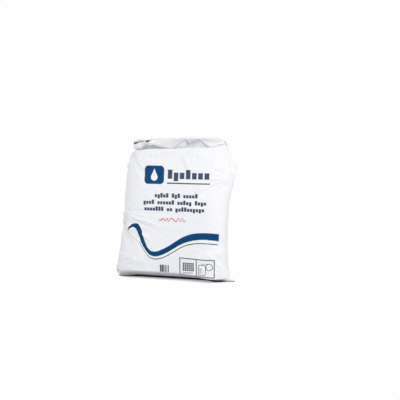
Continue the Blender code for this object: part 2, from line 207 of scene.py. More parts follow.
THIN_LINE = (
    (-0.0590, 0.0800), (-0.0510, 0.0660), (-0.0436, 0.0565), (-0.0390, 0.0514),
    (-0.0321, 0.0473), (-0.0227, 0.0460), (-0.0109, 0.0485), (0.0031, 0.0548),
    (0.0169, 0.0632), (0.0353, 0.0740), (0.0534, 0.0802), (0.0712, 0.0826),
    (0.0886, 0.0822), (0.1106, 0.0799))
THIN_HALF = 0.0010

# The badge with its drop, a circle under a taper from its tip to its waist
BADGE = ((-0.0265, 0.2215), (0.0215, 0.0190), 0.0080)
DROP_BELLY = ((-0.0265, 0.2165), 0.0072)
DROP_SLOPE = 2.29
DROP_TIP = 0.2345
DROP_WAIST = 0.2194

# The word-like rows of blocks: start, base line, pitch, block size, count of blocks, the gaps
# between words and a seed
TEXT_PITCH = 0.0062
TEXT_BLOCK = (0.0051, 0.0062)
BLOCK_ROWS = (
    (0.0015, 0.2140, 0.0130, (0.0098, 0.0130), 7, (), 3.0),
    (-0.0250, 0.1752, TEXT_PITCH, TEXT_BLOCK, 15, (5, 9), 11.0),
    (-0.0500, 0.1610, TEXT_PITCH, TEXT_BLOCK, 22, (4, 11, 17), 40.0),
    (-0.0480, 0.1472, TEXT_PITCH, TEXT_BLOCK, 21, (7, 10), 80.0),
)
# The chances above and below which a block is taller or deeper, and by how much of its height
TALL_CHANCE = 0.66
TALL_SHARE = 0.45
DEEP_CHANCE = 0.16
DEEP_SHARE = 0.35
UNDERLINE = ((0.0470, 0.2050), (0.0455, 0.0013), 0.0008)

# The two-cell box, whose top and bottom edges are each a slope and a height
BOX_TOP = (0.050, 0.0527)
BOX_BOTTOM = (0.095, 0.0202)
BOX_MIDDLE = 0.0665
BOX_HALF = 0.0365
BOX_LINE_HALF = 0.0010
DIVIDER = 0.0655
DIVIDER_HALF = 0.0009
# The dots in its first cell: start, pitch and half size across and up
DOTS_ACROSS = (0.0355, 0.0042, 0.0017)
DOTS_UP = (0.0240, 0.0036, 0.0015)
DOT_FIELD = ((0.0481, 0.0330), (0.0126, 0.0090), 0.0001)
NOTE = ((0.0475, 0.0205), (0.0110, 0.0006), 0.0005)
# The bag with its coiled tube in its second cell, and the half-widths of their lines
BAG = ((0.0775, 0.0270), (0.0072, 0.0105), 0.0030)
BAG_LINE_HALF = 0.0006
MARKS_UP = (0.0200, 0.0025, 0.00035)
MARK_FIELD = ((0.0748, 0.0260), (0.0026, 0.0062), 0.0001)
COIL = ((0.0925, 0.0330), 0.0068)
COIL_LINE_HALF = 0.0007
PIPE = ((0.0845, 0.0398), (0.0078, 0.0004), 0.0003)
NECK = ((0.0775, 0.0388), (0.0004, 0.0014), 0.0003)
# The plain bars beside the box: their field, where their count starts, how many to the metre, and
# the chance below which one is left out
BAR_FIELD = ((-0.0043, 0.0272), (0.0098, 0.0074), 0.0001)
BARS_START = -0.02
BARS_PER_METRE = 1250.0
BAR_CHANCE = 0.30

# The red scribble: its line, height, reach and thickness. Its waves are in radians to the metre,
# with a drift of their places and a swell of their height.
RED_LINE = 0.1295
RED_HEIGHT = 0.0026
RED_MIDDLE = 0.0140
RED_REACH = 0.0285
RED_HALF = 0.00085
RED_WAVES = 560.0
RED_DRIFT_WAVES = 190.0
RED_DRIFT = 1.4
RED_SWELL_WAVES = 61.0
RED_SWELL = 0.0010

# How a fold in the film is rounded at its crest, runs past its ends and thins out to its tip
CREST = 0.10
CREASE_OVERRUN = 0.12
CREASE_TAPER = 0.75
# Share of the wall over which its folds fade out at its foot. At its top it is half as much.
CREASE_FADE = 0.10

# Sprays of fine creases: how uneven their directions and lengths are, with the turns that make
# them so, how far from the root they start, and the height of every other one
FAN_WOBBLE = 0.35
FAN_WOBBLE_TURNS = (2.4, 37.0)
FAN_UNEVEN = 0.28
FAN_UNEVEN_TURNS = (1.9, 11.0)
FAN_START = 0.10
FAN_TROUGH = -0.7

# Creases of the film: where each starts and ends, its half-width and its height, in metres.
# A place is (distance to the right of the middle, height above the ground).
FRONT_CREASES = (
    ((-0.108, 0.136), (-0.012, 0.114), 0.0070, 0.0013),
    ((-0.110, 0.124), (-0.040, 0.088), 0.0060, 0.0014),
    ((-0.113, 0.112), (-0.070, 0.066), 0.0065, -0.0014),
    ((-0.107, 0.146), (0.020, 0.140), 0.0080, -0.0010),
    ((-0.088, 0.264), (-0.044, 0.214), 0.0075, -0.0020),
    ((-0.070, 0.268), (-0.058, 0.236), 0.0070, 0.0016),
    ((-0.040, 0.252), (0.022, 0.266), 0.0085, -0.0020),
    ((0.034, 0.262), (0.054, 0.228), 0.0085, 0.0018),
    ((0.126, 0.246), (0.088, 0.196), 0.0110, -0.0018),
    ((0.124, 0.206), (0.056, 0.172), 0.0110, -0.0014),
    ((0.122, 0.066), (0.050, 0.040), 0.0120, 0.0014),
    ((-0.120, 0.052), (-0.040, 0.036), 0.0100, 0.0012),
)
BACK_CREASES = (
    ((-0.104, 0.240), (-0.030, 0.190), 0.0120, 0.0024),
    ((0.114, 0.230), (0.036, 0.198), 0.0120, 0.0024),
    ((-0.112, 0.100), (-0.020, 0.130), 0.0120, -0.0020),
    ((0.118, 0.090), (0.030, 0.060), 0.0120, 0.0020),
    ((-0.118, 0.054), (-0.050, 0.036), 0.0110, 0.0018),
    ((-0.060, 0.262), (-0.044, 0.220), 0.0100, -0.0024),
    ((0.050, 0.262), (0.066, 0.216), 0.0100, -0.0024),
)

# Corners where the roof's flat facets meet: distance to the right in metres, share of the way up
# to the ridge, and height above the smooth roof in metres
ROOF_CORNERS = (
    (-0.078, 0.24, -0.0016), (-0.072, 0.38, 0.0022), (-0.069, 0.54, 0.0032),
    (-0.057, 0.73, 0.0024), (-0.046, 0.90, 0.0010), (-0.063, 0.28, -0.0034),
    (-0.056, 0.87, -0.0040), (-0.044, 0.76, -0.0066), (-0.024, 0.54, -0.0072),
    (0.003, 0.34, -0.0070), (0.014, 0.30, -0.0042), (0.018, 0.62, -0.0004),
    (0.029, 0.70, 0.0016), (0.033, 0.33, -0.0022), (0.033, 0.95, -0.0040),
    (0.041, 0.57, -0.0040), (0.045, 0.18, -0.0010), (0.057, 0.46, 0.0030),
    (0.061, 0.13, 0.0014), (0.066, 0.76, -0.0004), (0.073, 0.52, -0.0036),
    (0.084, 0.30, -0.0054), (0.080, 0.66, -0.0004), (0.096, 0.30, -0.0046),
    (0.098, 0.60, -0.0014), (0.105, 0.50, -0.0026), (0.107, 0.81, 0.0004),
)
# The ends of the roof's lower and upper edges, and the count of corners along each
ROOF_EDGES = (-0.102, 0.124, 14)
# The roof's length from the shoulder to the ridge, and how deep the facets of its back are beside
# those of its front
ROOF_LENGTH = 0.036
BACK_ROOF_SHARE = 0.25

# Painted shade in the roof's slits and on its darker facets, where the film is also pressed in a
# little: start and end by place as its corners, half-width as a share of its length, and darkness
ROOF_PAINTED_SHADES = (
    ((-0.074, 0.12), (0.012, 0.08), 0.22, 0.46),
    ((-0.058, 0.24), (-0.049, 0.66), 0.32, 0.56),
    ((-0.050, 0.60), (0.002, 0.08), 0.27, 0.54),
    ((0.040, 0.86), (0.064, 0.40), 0.40, 0.24),
    ((-0.102, 0.98), (-0.074, 0.70), 0.095, 1.30),
    ((-0.088, 0.72), (-0.040, 1.03), 0.080, 1.40),
    ((-0.002, 0.06), (0.036, 0.84), 0.09, 0.30),
    ((0.034, 0.99), (0.074, 0.99), 0.14, 0.30),
    ((0.022, 0.98), (0.034, 0.94), 0.08, 0.45),
    ((0.032, 0.95), (0.040, 0.40), 0.07, 0.48),
    ((0.056, 0.90), (0.092, 0.12), 0.09, 0.45),
)
ROOF_GAP_DEPTH = 0.0013
# Shade painted into the fold over the left ear, by place as the creases, and the rows of the wall
# that it reaches
EAR_PAINTED_SHADE = ((-0.1262, 0.0165), (-0.1140, 0.0125), 0.0022, 0.90)
EAR_PAINTED_SHADE_ROWS = 12
# Thin painted shade in the pinched folds by the start of the stripe, by place as the print
PINCH_PAINTED_SHADES = (
    ((-0.1060, 0.1400), (-0.0845, 0.1359), 0.0016, 0.20),
    ((-0.1040, 0.1338), (-0.0831, 0.1262), 0.0016, 0.42),
    ((-0.1050, 0.1265), (-0.0865, 0.1208), 0.0016, 0.42),
    ((-0.1055, 0.1222), (-0.0897, 0.1171), 0.0016, 0.34),
    ((-0.1040, 0.1188), (-0.0885, 0.1134), 0.0016, 0.30),
    ((-0.1080, 0.1108), (-0.0898, 0.1040), 0.0018, 0.45),
    ((-0.0898, 0.1040), (-0.0604, 0.0793), 0.0014, 0.24),
)
# Shade painted into the gap under the front of the base: its darkness, where it fades in and out
# across the pack, how far back it reaches, and how many rows of the seal it takes in
BASE_PAINTED_SHADE = 0.95
BASE_PAINTED_SHADE_LEFT = (-0.106, -0.076)
BASE_PAINTED_SHADE_RIGHT = (0.122, 0.106)
BASE_PAINTED_SHADE_BACK = 0.004
BASE_PAINTED_SHADE_SEAL_ROWS = 2


def smoothstep(low, high, value):
    """0 below low, 1 above high, and a smooth rise between."""
    share = np.clip((np.asarray(value, float) - low) / (high - low), 0.0, 1.0)
    return share * share * (3.0 - 2.0 * share)


def curve(places, values, at):
    """A smooth curve through a few points, which never swings past them."""
    places = np.asarray(places, float)
    values = np.asarray(values, float)
    steps = np.diff(values) / np.diff(places)
    before, after = steps[:-1], steps[1:]
    total = np.where(before * after > 0.0, before + after, 1.0)
    inner = np.where(before * after > 0.0, 2.0 * before * after / total, 0.0)
    slopes = np.concatenate([steps[:1], inner, steps[-1:]])
    at = np.clip(at, places[0], places[-1])
    span = np.clip(np.searchsorted(places, at) - 1, 0, len(steps) - 1)
    width = places[span + 1] - places[span]
    t = (at - places[span]) / width
    start = (1 + 2 * t) * (1 - t) ** 2 * values[span] + t * (1 - t) ** 2 * width * slopes[span]
    end = t * t * (3 - 2 * t) * values[span + 1] + t * t * (t - 1) * width * slopes[span + 1]
    return start + end


def line(points, at):
    """The height of a line drawn through (distance to the right, height) points."""
    return curve([point[0] for point in points], [point[1] for point in points], at)


def quarter(reach, depth, edge_power, shares):
    """A quarter of a ring, from the middle of a face to the side edge, at shares of its length."""
    angle = np.linspace(0.0, math.pi / 2, ARC_STEPS)
    x = reach * np.sin(angle) ** (2.0 / FACE_POWER)
    y = depth * np.maximum(np.cos(angle), 0.0) ** (2.0 / edge_power)
    y[-1] = 0.0
    run = np.concatenate([[0.0], np.cumsum(np.hypot(np.diff(x), np.diff(y)))])
    return np.interp(shares * run[-1], run, x), np.interp(shares * run[-1], run, y)


def ring(left, right, front, back, left_fold, right_fold):
    """A closed ring of film as x and y, from the front middle to the right and on round."""
    front_shares = np.arange(FRONT_COLUMNS // 2 + 1) / (FRONT_COLUMNS // 2)
    back_shares = np.arange(BACK_COLUMNS // 2 + 1) / (BACK_COLUMNS // 2)
    left_power = ROUND_EDGE + (FOLDED_EDGE - ROUND_EDGE) * left_fold
    right_power = ROUND_EDGE + (FOLDED_EDGE - ROUND_EDGE) * right_fold
    x_fr, y_fr = quarter(right, front, right_power, front_shares)
    x_br, y_br = quarter(right, back, right_power, back_shares)
    x_bl, y_bl = quarter(left, back, left_power, back_shares)
    x_fl, y_fl = quarter(left, front, left_power, front_shares)
    x = np.concatenate([x_fr, x_br[::-1][1:], -x_bl[1:], -x_fl[::-1][1:-1]])
    y = np.concatenate([-y_fr, y_br[::-1][1:], y_bl[1:], -y_fl[::-1][1:-1]])
    return x, y


def wall_ring(level):
    """The ring of the filled pouch at one level."""
    half = PACK_DEPTH / 2
    return ring(
        curve(LEVELS, LEFT_REACH, level),
        curve(LEVELS, RIGHT_REACH, level),
        curve(LEVELS, FRONT_BULGE, level) * half,
        curve(LEVELS, BACK_BULGE, level) * half,
        curve(LEVELS, LEFT_FOLD, level),
        curve(LEVELS, RIGHT_FOLD, level),
    )


def ear_lift(x):
    """How far the ears of the bottom seal rise from the ground towards their tips."""
    left = EAR_LIFT_LEFT * smoothstep(BOTTOM_SEAL_LEFT - EAR_LENGTH, BOTTOM_SEAL_LEFT, -x)
    right = EAR_LIFT_RIGHT * smoothstep(BOTTOM_SEAL_RIGHT - EAR_LENGTH, BOTTOM_SEAL_RIGHT, x)
    return left + right


def base_edge():
    """The edge of the base as x and y. Its columns run straight in to the seal under the middle."""
    return ring(LEFT_REACH[0], RIGHT_REACH[0], BASE_FRONT, BASE_BACK, LEFT_FOLD[0], RIGHT_FOLD[0])


def bottom_rows():
    """The bottom seal, folded back under the base, then the recess around it and the flat base."""
    half = SEAL_THICKNESS / 2
    x_edge, y_edge = base_edge()
    share_out = np.where(x_edge < 0.0, -x_edge / LEFT_REACH[0], x_edge / RIGHT_REACH[0])
    x_seal = share_out * np.where(x_edge < 0.0, -BOTTOM_SEAL_LEFT, BOTTOM_SEAL_RIGHT)
    thick = half * np.clip(y_edge / SEAL_EDGE, -1.0, 1.0)
    rows = []
    corner = smoothstep(CORNER_START, CORNER_END, share_out)
    for i in range(SEAL_ROWS + 1):
        share = i / SEAL_ROWS
        y = np.full_like(x_seal, BOTTOM_SEAL_LENGTH * (1 - share))
        z = SEAL_CLEARANCE + half + thick + ear_lift(x_seal) + SEAL_RAISE * share * (1 - corner)
        rows.append(np.stack([x_seal, y, z], axis=1))
    for front, back, front_z, back_z in BASE_RINGS:
        y = y_edge * np.where(y_edge < 0.0, front, back)
        z = np.where(y_edge < 0.0, front_z, back_z)
        z = z + (CORNER_LIFT - z) * corner + ear_lift(x_edge)
        rows.append(np.stack([x_edge, y, z], axis=1))
    return rows


def wall_row(level):
    """One row of the wall, from the tuck up to the front edge of the roof."""
    x, y = wall_ring(level)
    front = np.clip(-y / -y.min(), 0.0, 1.0)
    tuck = TUCK_HEIGHT_BACK + (line(TUCK_LINE, x) - TUCK_HEIGHT_BACK) * front
    top = PACK_HEIGHT - line(SHOULDER_LINE, x)
    share = (level - LEVELS[1]) / (LEVELS[-1] - LEVELS[1])
    settle = 1.0 - smoothstep(0.0, EAR_SETTLE, share)
    return np.stack([x, y, tuck + (top - tuck) * share + ear_lift(x) * settle], axis=1)


def foot_rows():
    """The tuck: the film turning out and up from the edge of the base to the wall."""
    x_top, y_top, z_top = wall_row(LEVELS[1]).T
    x_low, y_low, z_low = bottom_rows()[-1].T
    rows = []
    for i in range(1, FOOT_ROWS):
        share = i / FOOT_ROWS
        out = 1.0 - (1.0 - share) ** TUCK_ROUND_OUT
        up = share ** TUCK_ROUND_UP
        rows.append(np.stack([x_low + (x_top - x_low) * share, y_low + (y_top - y_low) * out,
                              z_low + (z_top - z_low) * up], axis=1))
    return rows


def wall_rows():
    """The wall of the filled pouch, from the tuck to the front edge of the roof."""
    span = LEVELS[-1] - LEVELS[1]
    return [wall_row(LEVELS[1] + span * i / WALL_ROWS) for i in range(WALL_ROWS + 1)]


def roof_rows():
    """The slack film above the contents, drawn in from the shoulder to the ridge."""
    rows = []
    thin = SEAL_THICKNESS / 2
    for i in range(1, ROOF_ROWS + 1):
        share = i / ROOF_ROWS
        front = (1 - share) * FRONT_BULGE[-1] * PACK_DEPTH / 2 + share * thin
        back = (1 - share) * BACK_BULGE[-1] * PACK_DEPTH / 2 + share * thin
        left = LEFT_REACH[-1] + (RIDGE_REACH_LEFT - LEFT_REACH[-1]) * share ** ROOF_LEFT_POWER
        right = RIGHT_REACH[-1] + (RIDGE_REACH_RIGHT - RIGHT_REACH[-1]) * share
        fade = 1 - share
        x, y = ring(left, right, front, back, LEFT_FOLD[-1] * fade, RIGHT_FOLD[-1] * fade)
        low = PACK_HEIGHT - line(SHOULDER_LINE, x)
        high = PACK_HEIGHT - line(RIDGE_LINE, x)
        rows.append(np.stack([x, y + RIDGE_SET_BACK * share, low + (high - low) * share], axis=1))
    return rows


def top_seal_rows():
    """The flat top seal, folded over the ridge and lying down behind it in a gentle wave."""
    half = SEAL_THICKNESS / 2
    x, thick = ring(RIDGE_REACH_LEFT, RIDGE_REACH_RIGHT, half, half, 0.0, 0.0)
    ridge = PACK_HEIGHT - line(RIDGE_LINE, x)
    middle_y = RIDGE_SET_BACK + TOP_FOLD_RADIUS
    wave = TOP_SEAL_WAVE * np.sin(2 * math.pi * x / TOP_SEAL_WAVELENGTH)
    along_seal = [Vector((value / SEAL_FLUTTER_WIDTH, 0.0, 0.0)) for value in x]
    flutter = SEAL_FLUTTER * np.array([noise.noise(place) for place in along_seal])
    rows = []
    for i in range(1, FOLD_ROWS + 1):
        turn = TOP_SEAL_FALL * i / FOLD_ROWS
        out = TOP_FOLD_RADIUS - thick
        y = middle_y - out * math.cos(turn)
        rows.append(np.stack([x, y, ridge + out * math.sin(turn)], axis=1))
    along = np.array([0.0, math.sin(TOP_SEAL_FALL), math.cos(TOP_SEAL_FALL)])
    away = np.array([0.0, -math.cos(TOP_SEAL_FALL), math.sin(TOP_SEAL_FALL)])
    for i in range(1, SEAL_ROWS + 1):
        share = i / SEAL_ROWS
        lift = wave * share + flutter * share * share
        hang = along * TOP_SEAL_LENGTH * share + lift[:, None] * away
        rows.append(rows[FOLD_ROWS - 1] + hang)
    return rows


def crease(place, start, end, half_width, height):
    """Height at each place of one fold in the film, sharp along its line and faded at its ends."""
    start, end = np.array(start), np.array(end)
    run = end - start
    share = ((place - start) @ run) / (run @ run)
    nearest = start + np.clip(share, 0.0, 1.0)[..., None] * run
    away = np.linalg.norm(place - nearest, axis=-1) / half_width
    fade = smoothstep(-CREASE_OVERRUN, CREASE_OVERRUN, share)
    fade = fade * smoothstep(1.0 + CREASE_OVERRUN, CREASE_TAPER, share)
    return height * np.maximum(0.0, 1.0 - np.sqrt(away * away + CREST * CREST) + CREST) * fade


def roof_facets():
    """The flat facets of the roof, each as its three corners."""
    edge = np.linspace(*ROOF_EDGES)
    corners = [(x, share, 0.0) for share in (0.0, 1.0) for x in edge] + list(ROOF_CORNERS)
    flat = [Vector((x / ROOF_LENGTH, share)) for x, share, _ in corners]
    triangles = geometry.delaunay_2d_cdt(flat, [], [], 0, 1e-6)[2]
    return [np.array([corners[i] for i in triangle]) for triangle in triangles]


def facet_height(x, share, triangles):
    """Height of the faceted film at each place."""
    height = np.zeros_like(x)
    for a, b, c in triangles:
        area = (b[0] - a[0]) * (c[1] - a[1]) - (c[0] - a[0]) * (b[1] - a[1])
        to_b = ((x - a[0]) * (c[1] - a[1]) - (c[0] - a[0]) * (share - a[1])) / area
        to_c = ((b[0] - a[0]) * (share - a[1]) - (x - a[0]) * (b[1] - a[1])) / area
        inside = (to_b >= 0.0) & (to_c >= 0.0) & (to_b + to_c <= 1.0)
        height = np.where(inside, a[2] + to_b * (b[2] - a[2]) + to_c * (c[2] - a[2]), height)
    return height


def fan(root, first, last, count, length, half_width, height):
    """A spray of creases from one place, between two directions in degrees, of uneven length."""
    folds = []
    for i in range(count):
        step, shift = FAN_WOBBLE_TURNS
        wobble = math.sin(step * i + shift * root[0]) * FAN_WOBBLE / count
        angle = math.radians(first + (last - first) * (i / (count - 1) + wobble))
        step, shift = FAN_UNEVEN_TURNS
        uneven = FAN_UNEVEN * math.sin(step * i + shift * root[1])
        reach = length * (1.0 - FAN_UNEVEN + uneven)
        way = np.array([math.cos(angle), math.sin(angle)]) * reach
        start, end = root + FAN_START * way, root + way
        folds.append((start, end, half_width, height if i % 2 else FAN_TROUGH * height))
    return folds


def outward(points):
    """Unit vectors pointing out of the film at each point of the sheet."""
    around = np.roll(points, -1, axis=1) - np.roll(points, 1, axis=1)
    up = np.gradient(points, axis=0)
    normal = np.cross(around, up)
    length = np.linalg.norm(normal, axis=-1, keepdims=True)
    return normal / np.maximum(length, 1e-12)


def noise_field(points, scale, seed, ridged=False):
    """Smooth noise at each point of the film, from -1 to 1, or ridges from 0 to 1."""
    shift = Vector([seed * part for part in NOISE_SHIFT])
    flat = points.reshape(-1, 3) / scale
    values = np.array([noise.noise(Vector(place) + shift) for place in flat])
    if ridged:
        values = 1.0 - np.abs(values) * CRINKLE_SHARPNESS
    return values.reshape(points.shape[:-1])


# Fine creases of the front and the back, by place as FRONT_CREASES
FRONT_FINE = tuple(
    fan((-0.114, 0.140), -52, 4, 11, 0.105, 0.0026, 0.0018)
    + fan((-0.112, 0.122), -66, -22, 6, 0.070, 0.0026, 0.0016)
    + fan((-0.096, 0.268), -78, -14, 9, 0.070, 0.0030, 0.0014)
    + fan((-0.030, 0.274), -150, -30, 7, 0.040, 0.0028, 0.0009)
    + fan((0.060, 0.274), -160, -40, 7, 0.040, 0.0028, 0.0009)
    + fan((0.130, 0.214), 150, 215, 8, 0.075, 0.0036, 0.0012)
    + fan((-0.126, 0.024), 6, 62, 7, 0.060, 0.0032, 0.0012)
    + fan((0.128, 0.012), 118, 172, 7, 0.065, 0.0036, 0.0010)
)
BACK_FINE = tuple(
    fan((-0.104, 0.262), -80, -15, 9, 0.090, 0.0036, 0.0018)
    + fan((0.120, 0.250), 190, 255, 9, 0.090, 0.0036, 0.0018)
    + fan((-0.122, 0.026), 10, 70, 8, 0.080, 0.0036, 0.0016)
    + fan((0.124, 0.020), 110, 170, 8, 0.080, 0.0036, 0.0016)
    + fan((-0.020, 0.276), -150, -30, 8, 0.050, 0.0034, 0.0011)
    + fan((0.070, 0.276), -150, -30, 8, 0.050, 0.0034, 0.0011)
)

# Folds of the sides, by distance round the film from the front middle and height along it
SIDE_FINE = tuple(
    fan((-0.124, 0.138), 142, 216, 9, 0.085, 0.0030, 0.0015)
    + fan((-0.110, 0.262), 196, 258, 8, 0.080, 0.0034, 0.0015)
    + fan((0.147, 0.214), -42, 42, 9, 0.080, 0.0034, 0.0015)
    + fan((0.128, 0.262), -78, -16, 7, 0.070, 0.0034, 0.0014)
    + fan((-0.140, 0.026), 116, 172, 7, 0.075, 0.0034, 0.0014)
    + fan((0.141, 0.018), 8, 64, 7, 0.075, 0.0034, 0.0014)
) + (
    ((-0.136, 0.236), (-0.152, 0.118), 0.0090, 0.0018),
    ((-0.168, 0.256), (-0.174, 0.150), 0.0100, -0.0020),
    ((-0.150, 0.112), (-0.146, 0.040), 0.0080, 0.0014),
    ((-0.176, 0.130), (-0.166, 0.050), 0.0090, -0.0014),
    ((0.172, 0.244), (0.166, 0.120), 0.0100, 0.0018),
    ((0.152, 0.176), (0.150, 0.060), 0.0080, -0.0014),
    ((0.178, 0.128), (0.170, 0.046), 0.0090, 0.0014),
)


def film_rows():
    """The rows of the film from the free edge of the bottom seal to that of the top seal."""
    low = bottom_rows() + foot_rows()
    wall = wall_rows()
    roof = roof_rows()
    points = np.array(low + wall + roof + top_seal_rows())
    first_wall = len(low)
    first_roof = first_wall + len(wall)
    return points, first_wall, first_roof


def film_coordinates(points, first_wall):
    """Distance round the film from the front middle, and height along it, in metres."""
    rows, columns = points.shape[:2]
    steps = np.linalg.norm(np.diff(points, axis=1, append=points[:, :1]), axis=-1)
    half = columns // 2
    u = np.zeros((rows, columns))
    u[:, 1:half + 1] = np.cumsum(steps[:, :half], axis=1)
    u[:, half + 1:] = -np.cumsum(steps[:, half:][:, ::-1], axis=1)[:, ::-1][:, 1:]
    climb = np.linalg.norm(np.diff(points, axis=0), axis=-1)
    v = np.zeros((rows, columns))
    v[1:] = np.cumsum(climb, axis=0)
    v += points[first_wall, :, 2] - v[first_wall]
    return u, v


def fold_wall(points, u, v, wall, bump, gap):
    """Presses the folds into the wall, and paints shade into the pinched ones."""
    x, y, z = np.moveaxis(points[wall], -1, 0)
    share = np.linspace(0.0, 1.0, len(x))[:, None]
    strength = smoothstep(0.0, CREASE_FADE, share) * smoothstep(1.0, 1.0 - CREASE_FADE / 2, share)
    place = np.stack([x, z], axis=-1)
    front = sum(crease(place, *fold) for fold in FRONT_CREASES + FRONT_FINE)
    back = sum(crease(place, *fold) for fold in BACK_CREASES + BACK_FINE)
    place = np.stack([u[wall], v[wall]], axis=-1)
    sides = sum(crease(place, *fold) for fold in SIDE_FINE)
    bump[wall] = (np.where(y < 0.0, front, back) + sides) * strength
    for fold in PINCH_PAINTED_SHADES:
        gap[wall] = np.maximum(gap[wall], crease(place, *fold))


def fold_roof(points, first_roof, bump, gap):
    """Breaks the roof into flat facets, with shade painted into the gaps between them and on the
    darker ones, pressed in a little.
    """
    facets = roof_facets()
    for i in range(1, ROOF_ROWS):
        row, share = first_roof + i - 1, i / ROOF_ROWS
        x, y = points[row].T[:2]
        on_front = y < RIDGE_SET_BACK * share
        back = facet_height(-x, share, facets) * BACK_ROOF_SHARE
        bump[row] = np.where(on_front, facet_height(x, share, facets), back)
        place = np.stack([x / ROOF_LENGTH, np.full_like(x, share)], axis=-1)
        for start, end, half_width, dark in ROOF_PAINTED_SHADES:
            start, end = (start[0] / ROOF_LENGTH, start[1]), (end[0] / ROOF_LENGTH, end[1])
            painted_slit_shade = np.where(on_front, crease(place, start, end, half_width, dark), 0.0)
            gap[row] = np.maximum(gap[row], painted_slit_shade)
        bump[row] -= ROOF_GAP_DEPTH * np.clip(gap[row], 0.0, 1.0)


def shade_foot(points, first_wall, gap):
    """Paints shade into the gap under the front of the base, and into the fold over the left ear.
    """
    base = slice(SEAL_ROWS - BASE_PAINTED_SHADE_SEAL_ROWS, first_wall - FOOT_ROWS + 1)
    x, y = points[base, :, 0], points[base, :, 1]
    middle = smoothstep(*BASE_PAINTED_SHADE_LEFT, x) * smoothstep(*BASE_PAINTED_SHADE_RIGHT, x)
    gap[base] = np.where(y < BASE_PAINTED_SHADE_BACK, BASE_PAINTED_SHADE, 0.0) * middle
    ear = slice(first_wall - FOOT_ROWS, first_wall + EAR_PAINTED_SHADE_ROWS)
    x, y, z = np.moveaxis(points[ear], -1, 0)
    painted_slit_shade = np.where(y <= 0.0, crease(np.stack([x, z], axis=-1), *EAR_PAINTED_SHADE), 0.0)
    gap[ear] = np.maximum(gap[ear], painted_slit_shade)


def add_folds(points, u, v, first_wall, first_roof):
    """Presses the folds and the soft unevenness into the film. Returns the shade painted into its
    gaps and folds, from 0 to 1.
    """
    bump = np.zeros(points.shape[:2])
    gap = np.zeros(points.shape[:2])
    fold_wall(points, u, v, slice(first_wall, first_roof), bump, gap)
    fold_roof(points, first_roof, bump, gap)
    shade_foot(points, first_wall, gap)
    fine = np.zeros(len(points))
    fine[first_wall - FOOT_ROWS // 2:first_roof + ROOF_ROWS - 1] = 1.0
    fine = np.convolve(fine, np.ones(FINE_BLUR_ROWS) / FINE_BLUR_ROWS, mode="same")[:, None]
    swell = noise_field(points, SWELL_WIDTH, 1) * SWELL
    crinkle = (noise_field(points, CRINKLE_WIDTH, 2, ridged=True) - 0.5) * CRINKLE
    bump += (swell + crinkle) * fine
    points += outward(points) * bump[..., None]
    return np.clip(gap, 0.0, 1.0)


def film_mesh(points):
    """A closed mesh through the rows of film, with a cap at the free edge of each seal."""
    rows, columns = points.shape[:2]
    faces = []
    for row in range(rows - 1):
        low, high = row * columns, (row + 1) * columns
        for column in range(columns):
            following = (column + 1) % columns
            faces.append((low + column, low + following, high + following, high + column))
    faces.append(tuple(range(columns))[::-1])
    faces.append(tuple(range((rows - 1) * columns, rows * columns)))
    mesh = bpy.data.meshes.new("film_pouch")
    mesh.from_pydata(points.reshape(-1, 3).tolist(), [], faces)
    mesh.validate()
    return mesh


def add_film_map(mesh, u, v):
    """Maps the film by distance round it and height along it, which place its print."""
    columns = u.shape[1]
    film_map = mesh.uv_layers.new(name="film")
    corner = np.zeros(len(mesh.loops), dtype=int)
    mesh.loops.foreach_get("vertex_index", corner)
    flat_u, flat_v = u.reshape(-1)[corner], v.reshape(-1)[corner]
    # Faces on the left of the back seam count their distance the other way round
    starts = np.zeros(len(mesh.polygons), dtype=int)
    totals = np.zeros(len(mesh.polygons), dtype=int)
    mesh.polygons.foreach_get("loop_start", starts)
    mesh.polygons.foreach_get("loop_total", totals)
    owner = np.repeat(np.arange(len(starts)), totals)
    left_face = np.add.reduceat(np.where(flat_u < 0.0, 1, 0), starts) > 0
    at_seam = (corner % columns) == columns // 2
    flat_u[at_seam & left_face[owner]] *= -1.0
    flat = np.stack([flat_u, flat_v], axis=1).astype(np.float32)
    film_map.data.foreach_set("uv", flat.reshape(-1))


def build_film():
    """The printed film pouch with its contents, which stands in for its CAD node."""
    points, first_wall, first_roof = film_rows()
    u, v = film_coordinates(points, first_wall)
    gap = add_folds(points, u, v, first_wall, first_roof)
    points -= np.array([CENTRE_X, CENTRE_Y, 0.0])
    mesh = film_mesh(points)
    add_film_map(mesh, u, v)
    seal = np.full(gap.shape, -1.0)
    seal[:SEAL_ROWS + 1] = np.linspace(0.0, BOTTOM_SEAL_LENGTH, SEAL_ROWS + 1)[:, None]
    seal[-SEAL_ROWS - 1:] = np.linspace(TOP_SEAL_LENGTH, 0.0, SEAL_ROWS + 1)[:, None]
    # The distance along each seal, and how dark the shade painted into the gaps and folds is, ride
    # on the mesh
    for name, values in (("seal", seal), ("gap", gap)):
        tag = mesh.attributes.new(name, "FLOAT", "POINT")
        tag.data.foreach_set("value", values.astype(np.float32).reshape(-1))
    mesh.shade_smooth()
    mesh.set_sharp_from_angle(angle=SHARP_ANGLE)
    mesh.materials.append(film_material())
    film = bpy.data.objects.new("film_pouch", mesh)
    bpy.context.scene.collection.objects.link(film)
    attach(film, "root")
    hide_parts("sealed_pack")


